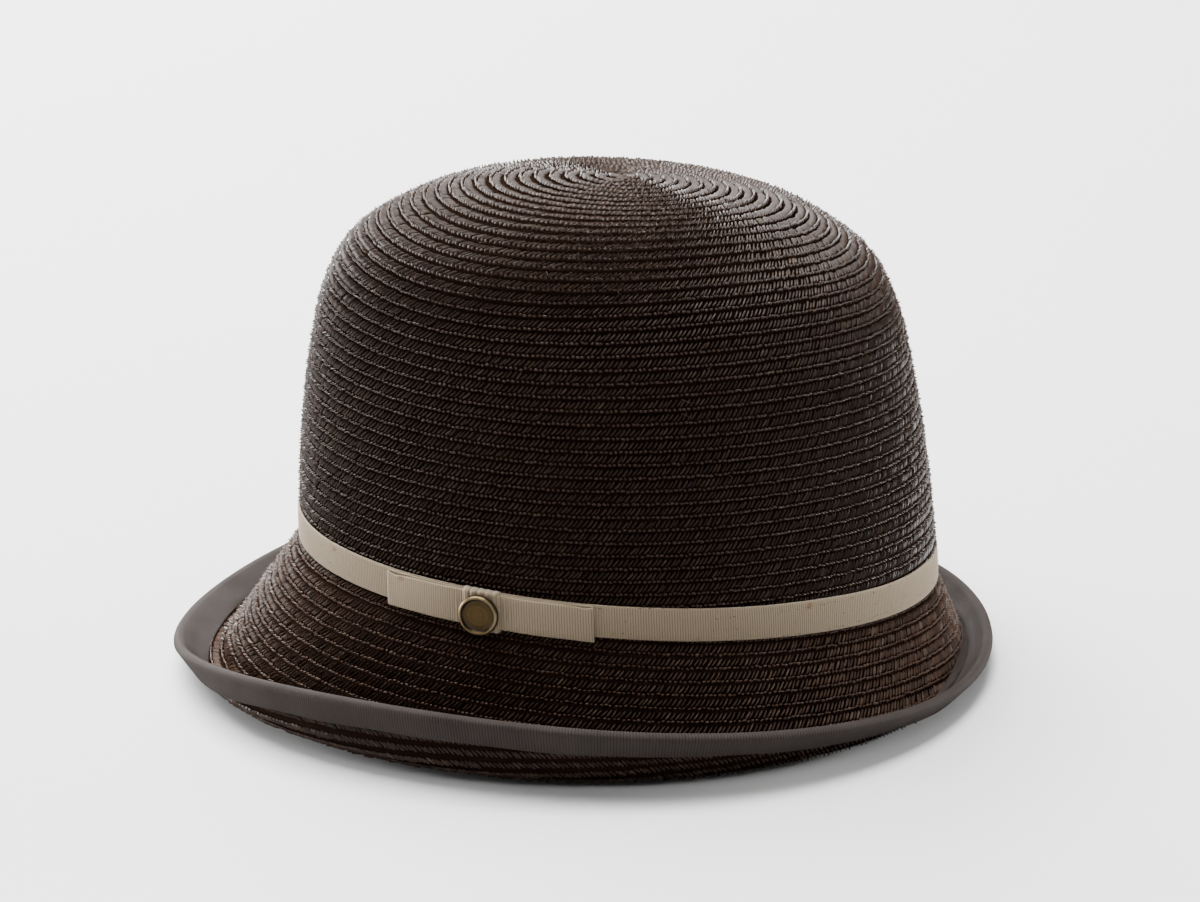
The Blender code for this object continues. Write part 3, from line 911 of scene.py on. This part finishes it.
def make_knot(material):
    """Short ribbon wrapped over the middle of the bow, gathered into upright pleats."""
    low = GAP - BOW_DROP - 0.75 * MM
    high = GAP - BOW_DROP + BOW_WIDTH + 0.55 * MM
    front = 4.15 * MM
    steps = 44
    x = np.linspace(-KNOT_WIDTH / 2, KNOT_WIDTH / 2, steps)
    pleat = 0.22 * MM * cos(2 * pi * x / (2.1 * MM)) + 0.10 * MM * cos(2 * pi * x / (1.1 * MM) + 1.0)
    profile = []
    for t in np.linspace(0.0, 1.0, 9):
        profile.append((low + 0.9 * MM * (1 - t) ** 2 * 0 + 0.0 * t, 1.6 * MM + (front - 2.3 * MM) * t))
    face = []
    for turn in np.linspace(-pi / 2, 0, 5):
        face.append((low + 0.7 * MM + 0.7 * MM * sin(turn), front - 0.7 * MM + 0.7 * MM * cos(turn)))
    for t in np.linspace(0.0, 1.0, 14)[1:-1]:
        face.append((low + 0.7 * MM + (high - low - 1.4 * MM) * t, front))
    for turn in np.linspace(0, pi / 2, 5):
        face.append((high - 0.7 * MM + 0.7 * MM * sin(turn), front - 0.7 * MM + 0.7 * MM * cos(turn)))
    outer = [(low, 1.5 * MM)] + face + [(high, 1.5 * MM)]
    outer = np.array(outer)
    thick = 0.5 * MM
    middle = (low + high) / 2
    inner = np.array([(middle + (h - middle) * 0.92, max(1.5 * MM, p - thick)) for h, p in outer])
    sections = []
    shade = []
    for place, lift in zip(x, pleat):
        edge = 1 - 0.35 * (abs(place) / (KNOT_WIDTH / 2)) ** 8
        ring = []
        tone = []
        for h, p in outer:
            amount = (p - 1.5 * MM) / (front - 1.5 * MM)
            pinch = 0.96 + 0.04 * abs(h - middle) / (high - middle)
            ring.append(wall_point(around_bow(place * pinch), h + 0.35 * lift, p * (1 if edge > 0.99 else edge * 0.5 + 0.5) + lift * amount))
            # Painted shade: the outer face's rib value follows the pleats, darker in the pleat folds and lighter on
            # their crests
            tone.append(0.55 + 1.6 * (lift / MM))
        for h, p in inner[::-1]:
            ring.append(wall_point(around_bow(place), h, p))
            tone.append(0.6)
        sections.append(ring)
        shade.append(tone)
    knot = tube("bow_knot", np.array(sections), material, False, np.clip(np.array(shade), 0, 1))
    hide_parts("knot")
    return knot


def make_button(material):
    """Round metal button with a rolled rim and a plain, slightly domed face."""
    back = 3 * GAP + 2.0 * MM + 1.6 * MM
    radius = BUTTON_DIAMETER / 2
    outline = (
        # radius share, height in mm, wear
        (0.00, 0.15, 0.2), (0.80, 0.10, 0.2), (0.93, 0.22, 0.3), (0.985, 0.55, 0.5), (1.00, 1.05, 0.6),
        (0.995, 1.55, 0.75), (0.965, 2.02, 0.95), (0.915, 2.26, 1.0), (0.865, 2.30, 0.9), (0.825, 2.12, 0.5),
        (0.80, 1.78, 0.1), (0.775, 1.55, 0.0), (0.74, 1.50, 0.05), (0.66, 1.56, 0.35), (0.50, 1.66, 0.5),
        (0.46, 1.70, 0.6), (0.42, 1.66, 0.4), (0.25, 1.74, 0.5), (0.00, 1.76, 0.5),
    )
    middle = GAP - BOW_DROP + BOW_WIDTH / 2 - BUTTON_DROP
    centre = wall_point(np.array(BOW_ANGLE), np.array(middle), np.array(back))
    forward = wall_normal(np.array(BOW_ANGLE))
    up = np.array([0.0, 0.0, 1.0])
    side = np.cross(up, forward)
    count = 96
    turn = np.arange(count) * 2 * pi / count
    rings, brightened = [], []
    for share, height, wear in outline:
        ring = centre + forward * height * MM + (side[None] * cos(turn)[:, None] + up[None] * sin(turn)[:, None]) * share * radius
        rings.append(ring)
        brightened.append(np.full(count, wear))
    points = np.concatenate(rings)
    quads = []
    place = np.arange(count)
    after = (place + 1) % count
    for ring in range(1, len(outline) - 2):
        quads.append(np.stack([ring * count + place, ring * count + after, (ring + 1) * count + after,
                               (ring + 1) * count + place], -1))
    last = len(outline) - 1
    first_fan = np.stack([0 * place, count + after, count + place], -1)
    last_fan = np.stack([(last - 1) * count + place, (last - 1) * count + after, 0 * place + last * count], -1)
    uv = np.stack([points @ side, points @ up], -1)
    uv = (uv - uv.min(0)) / (uv.max(0) - uv.min(0))
    button = build("button_face", points, [np.concatenate(quads), first_fan, last_fan], material, uv=uv,
                   values={"brightened": np.concatenate(brightened)})
    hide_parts("button")
    return button


def make_binding(material):
    """Ribbon folded over the edge of the brim, ribbed across."""
    ribs = int(780.0 * MM / EDGE_RIB_PITCH)
    count = ribs * 3
    angle = np.arange(count) * 2 * pi / count
    phase = np.arange(count) % 3
    rib = np.where(phase == 0, 0.0, 1.0)
    relief = (rib - 1.0) * 0.18 * MM
    brim = Brim(angle)
    end = brim.length - 0.4 * MM
    pucker = slow_wave(angle, range(9, 46), 0.16 * MM, 11)
    width = BINDING_WIDTH + slow_wave(angle, range(3, 24), 0.30 * MM, 12)
    width_under = BINDING_UNDER + slow_wave(angle, range(3, 24), 0.35 * MM, 13)
    above, below = 0.85 * MM, -STRAW_THICKNESS - 0.85 * MM
    rows, shade = [], []
    # Rows with rib value nought are darkened by the ribbon material: painted shade along the binding's edges where it
    # meets the straw, and on the hidden inner rows
    rows.append(brim.point(end - width, 0.05 * MM + 0 * angle))
    shade.append(0 * rib)
    for share, proud in ((1.0, 0.75), (0.96, 1.0), (0.7, 1.05), (0.4, 1.05), (0.12, 1.0)):
        rows.append(brim.point(end - width * share, above * proud + relief + pucker * sin(pi * min(share, 0.999)) ** 0.5))
        shade.append(rib)
    middle = (above + below) / 2
    half = (above - below) / 2
    for turn in np.linspace(pi / 2, -pi / 2, 7)[1:-1]:
        out = 1.35 * MM * cos(turn)
        rows.append(brim.point(end + out + relief * cos(turn), middle + (half + relief) * sin(turn)))
        shade.append(rib)
    for share, proud in ((0.12, 1.0), (0.4, 1.05), (0.7, 1.05), (0.96, 1.0), (1.0, 0.8)):
        off = below - (proud - 1.0) * 0.5 * MM - relief - pucker * 0.6 * sin(pi * min(share, 0.999)) ** 0.5
        rows.append(brim.point(end - width_under * share, off))
        shade.append(rib)
    rows.append(brim.point(end - width_under, -STRAW_THICKNESS - 0.05 * MM + 0 * angle))
    shade.append(0 * rib)
    for share in (0.55, 0.08):
        rows.append(brim.point(end - width_under * share, below + 0.55 * MM + 0 * angle))
        shade.append(0 * rib)
    rows.append(brim.point(end + 0.75 * MM, middle + 0 * angle))
    shade.append(0 * rib)
    for share in (0.08, 0.55):
        rows.append(brim.point(end - width * share, above - 0.55 * MM + 0 * angle))
        shade.append(0 * rib)
    binding = tube("edge_binding", np.stack(rows, 1), material, True, np.stack(shade, 1))
    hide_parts("binding")
    return binding


def make_whiskers(material):
    """Loose straw ends standing off the braid here and there."""
    outside = Surface(CROWN_GRID)
    count = 150
    angle = random.uniform(0, 2 * pi, count)
    where = random.uniform(0.05, 0.96, count) ** 0.8
    size = random.uniform(1.2, 4.2, count) * MM
    lean = random.normal(0, 0.9, count)
    lift = random.uniform(0.15, 0.75, count)
    base, normal, around, along = outside.at(angle, where)
    beside, _, _, _ = outside.at(angle + 0.01, where)
    tangent = beside - base
    tangent = tangent / np.maximum(np.linalg.norm(tangent, axis=1, keepdims=True), 1e-9)
    down = np.cross(normal, tangent)
    way = tangent * cos(lean)[:, None] + down * sin(lean)[:, None]
    cross = np.cross(way, normal)
    verts, tris, quads = [], [], []
    stations = (0.0, 0.35, 0.7, 1.0)
    for t in stations:
        centre = base + way * (size * t)[:, None] + normal * (size * lift * t ** 1.6)[:, None]
        thick = 0.13 * MM * (1.02 - t)
        verts.append(np.stack([centre + cross * thick, centre + normal * thick, centre - cross * thick], 1))
    verts = np.stack(verts, 1)
    total = verts.shape[1] * 3
    offset = np.arange(count)[:, None] * total
    for ring in range(len(stations) - 1):
        for side in range(3):
            after = (side + 1) % 3
            quads.append(offset + np.array([[ring * 3 + side, ring * 3 + after, ring * 3 + 3 + after, ring * 3 + 3 + side]]))
    quads = np.concatenate(quads)
    flat = verts.reshape(-1, 3)
    tone = np.repeat(random.uniform(0.3, 1.0, count), total)
    uv = np.stack([np.repeat(angle / (2 * pi), total), np.repeat(where, total)], -1)
    piece = build("straw_whiskers", flat, [quads], material, uv=uv, values={"tone": tone})
    return piece




def make_camera():
    back = Vector((sin(CAMERA_AZIMUTH) * cos(CAMERA_ELEVATION), -cos(CAMERA_AZIMUTH) * cos(CAMERA_ELEVATION),
                   sin(CAMERA_ELEVATION)))
    data = bpy.data.cameras.new("camera")
    camera = bpy.data.objects.new("camera", data)
    bpy.context.scene.collection.objects.link(camera)
    data.sensor_width = 36.0
    data.lens = FOCAL_PIXELS * 36.0 / PHOTO_SIZE[0]
    data.shift_x = -(CENTRE_PIXEL[0] - PHOTO_SIZE[0] / 2) / PHOTO_SIZE[0]
    data.shift_y = (CENTRE_PIXEL[1] - PHOTO_SIZE[1] / 2) / PHOTO_SIZE[0]
    camera.location = Vector(LOOK_AT + SHIFT) + back * CAMERA_DISTANCE
    camera.rotation_mode = "QUATERNION"
    camera.rotation_quaternion = (-back).to_track_quat("-Z", "Y")
    bpy.context.scene.camera = camera
    return back


STUDIO = 1.8
LIT_POINT = Vector((0.0, 0.0, 0.06))


def area_light(name, place, size, power):
    """A soft light that faces the hat. STUDIO moves it out and makes it as much larger."""
    place = LIT_POINT + (Vector(place) - LIT_POINT) * STUDIO
    data = bpy.data.lights.new(name, "AREA")
    data.shape = "RECTANGLE"
    data.size, data.size_y = size[0] * STUDIO, size[1] * STUDIO
    data.energy = power * STUDIO ** 2
    light = bpy.data.objects.new(name, data)
    bpy.context.scene.collection.objects.link(light)
    light.location = place
    direction = LIT_POINT - place
    light.rotation_mode = "QUATERNION"
    light.rotation_quaternion = direction.to_track_quat("-Z", "Y")
    return light


def make_studio():
    right = Vector((cos(CAMERA_AZIMUTH), sin(CAMERA_AZIMUTH), 0.0))
    toward = Vector((sin(CAMERA_AZIMUTH), -cos(CAMERA_AZIMUTH), 0.0))
    above = Vector((0.0, 0.0, 1.0))
    area_light("top_softbox", above * 1.45 - toward * 0.28 - right * 0.35, (1.3, 1.4), 158.0)
    area_light("back_screen", above * 0.60 - toward * 1.7 - right * 0.55, (1.5, 0.9), 125.0)
    area_light("front_softbox", above * 1.15 + toward * 1.1 - right * 0.1, (1.4, 0.6), 12.0)
    area_light("left_softbox", -right * 1.4 - toward * 0.50 + above * 0.22, (0.7, 0.40), 54.0)
    area_light("right_softbox", right * 1.4 - toward * 0.50 + above * 0.22, (0.7, 0.40), 56.0)
    world = bpy.data.worlds.new("studio")
    bpy.context.scene.world = world
    world.use_nodes = True
    shade = world.node_tree.nodes["Background"]
    shade.inputs["Color"].default_value = (1.0, 0.99, 0.97, 1.0)
    shade.inputs["Strength"].default_value = 0.17
    count = 96
    turn = np.arange(count) * 2 * pi / count
    rings = [np.zeros((1, 3))]
    for radius in (0.25, 0.6, 1.5, 4.0, 9.0):
        rings.append(np.stack([radius * cos(turn), radius * sin(turn), 0 * turn], -1))
    mesh = bpy.data.meshes.new("floor")
    faces = [(0, 1 + step, 1 + (step + 1) % count) for step in range(count)]
    for ring in range(4):
        base = 1 + ring * count
        for step in range(count):
            after = (step + 1) % count
            faces.append((base + step, base + count + step, base + count + after, base + after))
    mesh.from_pydata(np.concatenate(rings).tolist(), [], faces)
    mesh.materials.append(stage_material())
    floor = bpy.data.objects.new("floor", mesh)
    floor.location = (0.0, 0.0, -0.0002)
    bpy.context.scene.collection.objects.link(floor)


CREAM = (0.186, 0.147, 0.101)
CREAM_DEEP = (0.172, 0.130, 0.083)
TAUPE = (0.0335, 0.0268, 0.0242)
TAUPE_DEEP = (0.013, 0.0105, 0.0095)



def stain(degrees, height, proud):
    """A small brown mark on the ribbon, by its angle round the hat and millimetres up and out."""
    place = wall_point(np.array(radians(degrees)), np.array(height * MM), np.array(proud * MM)) + SHIFT
    return place, 1.5 * MM, 0.75, (0.11, 0.065, 0.035)


make_camera()
make_straw()
make_whiskers(straw_material("straw_loose_ends"))
make_band(ribbon_material("ribbon_cream", CREAM, CREAM_DEEP, (stain(8.5, 8.5, 1.1), stain(101.8, 9.0, 1.1))))
make_bow(ribbon_material("bow_ribbon_cream", CREAM, CREAM_DEEP, (stain(28.2, 9.0, 3.2),)))
make_knot(ribbon_material("knot_ribbon_cream", CREAM, CREAM_DEEP))
make_button(brass_material())
make_binding(ribbon_material("edge_ribbon_taupe", TAUPE, TAUPE_DEEP, (), 0.0, 0.05))
make_studio()
